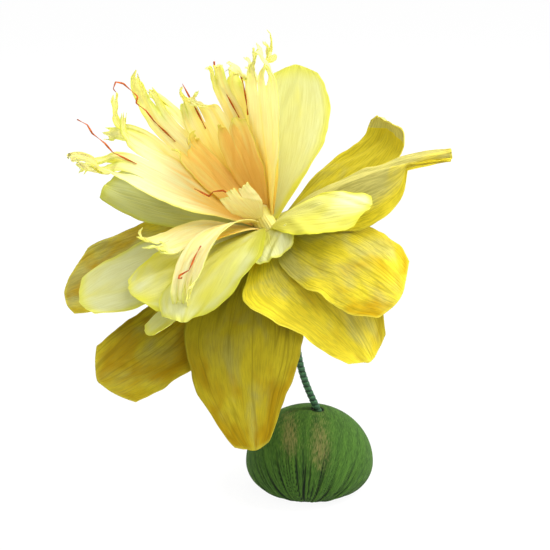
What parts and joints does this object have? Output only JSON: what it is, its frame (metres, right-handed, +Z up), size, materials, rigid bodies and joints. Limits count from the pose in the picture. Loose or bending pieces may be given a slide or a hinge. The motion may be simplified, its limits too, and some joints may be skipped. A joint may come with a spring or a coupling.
{
  "type": "paper flower",
  "caption": "Large crepe-paper flower with drooping outer petals, pale inner petals and a fringed crown, on a leaning tape-wrapped stem set in a round paper-covered base.",
  "frame": {"origin": "centre of the base's flat foot, on the surface it stands on", "axes": "+Z up from the foot; the stem and flower lean towards -X, and -Y is the front seen in the picture"},
  "size_m": [0.2079, 0.1706, 0.2458],
  "materials": {
    "base_wood": "turned, unfinished",
    "green_crepe": "pleated crepe, matte",
    "steel_wire": "drawn",
    "green_tape": "waxed crepe tape",
    "bud_crepe": "wound crepe, matte",
    "outer_crepe": "ribbed crepe, brushed with paint",
    "pale_crepe": "thin translucent crepe",
    "strip_crepe": "thin translucent crepe",
    "stamen_paper": "twisted tissue"
  },
  "bodies": {
    "root": {"base_core": "base_wood", "base_cover": "green_crepe", "stem_wire": "steel_wire", "stem_wrap": "green_tape", "bud": "bud_crepe", "outer_petal_right_back": "outer_crepe", "outer_petal_right": "outer_crepe", "outer_petal_right_front": "outer_crepe", "outer_petal_front_right": "outer_crepe", "outer_petal_front": "outer_crepe", "outer_petal_front_left": "outer_crepe", "outer_petal_left": "outer_crepe", "outer_petal_left_back": "outer_crepe", "outer_petal_back": "outer_crepe", "outer_petal_back_right": "outer_crepe", "inner_petal_right_back": "pale_crepe", "inner_petal_right": "pale_crepe", "inner_petal_front_right": "pale_crepe", "inner_petal_front": "pale_crepe", "inner_petal_front_left": "pale_crepe", "inner_petal_front_low": "pale_crepe", "inner_petal_left": "pale_crepe", "inner_petal_left_back": "pale_crepe", "inner_petal_back": "pale_crepe", "inner_petal_back_right": "pale_crepe", "orange_strip_left": "strip_crepe", "orange_strip_back": "strip_crepe", "fringed_strip_right": "strip_crepe", "fringed_strip_back": "strip_crepe", "fringed_strip_back_left": "strip_crepe", "fringed_strip_left_back": "strip_crepe", "fringed_strip_left": "strip_crepe", "fringed_strip_front_left": "strip_crepe", "fringed_strip_front": "strip_crepe", "fringed_strip_front_short": "strip_crepe", "stamen_right": "stamen_paper", "stamen_back": "stamen_paper", "stamen_back_left": "stamen_paper", "stamen_left_back": "stamen_paper", "stamen_left": "stamen_paper", "stamen_front": "stamen_paper", "stamen_front_short": "stamen_paper"}
  },
  "joints": []
}
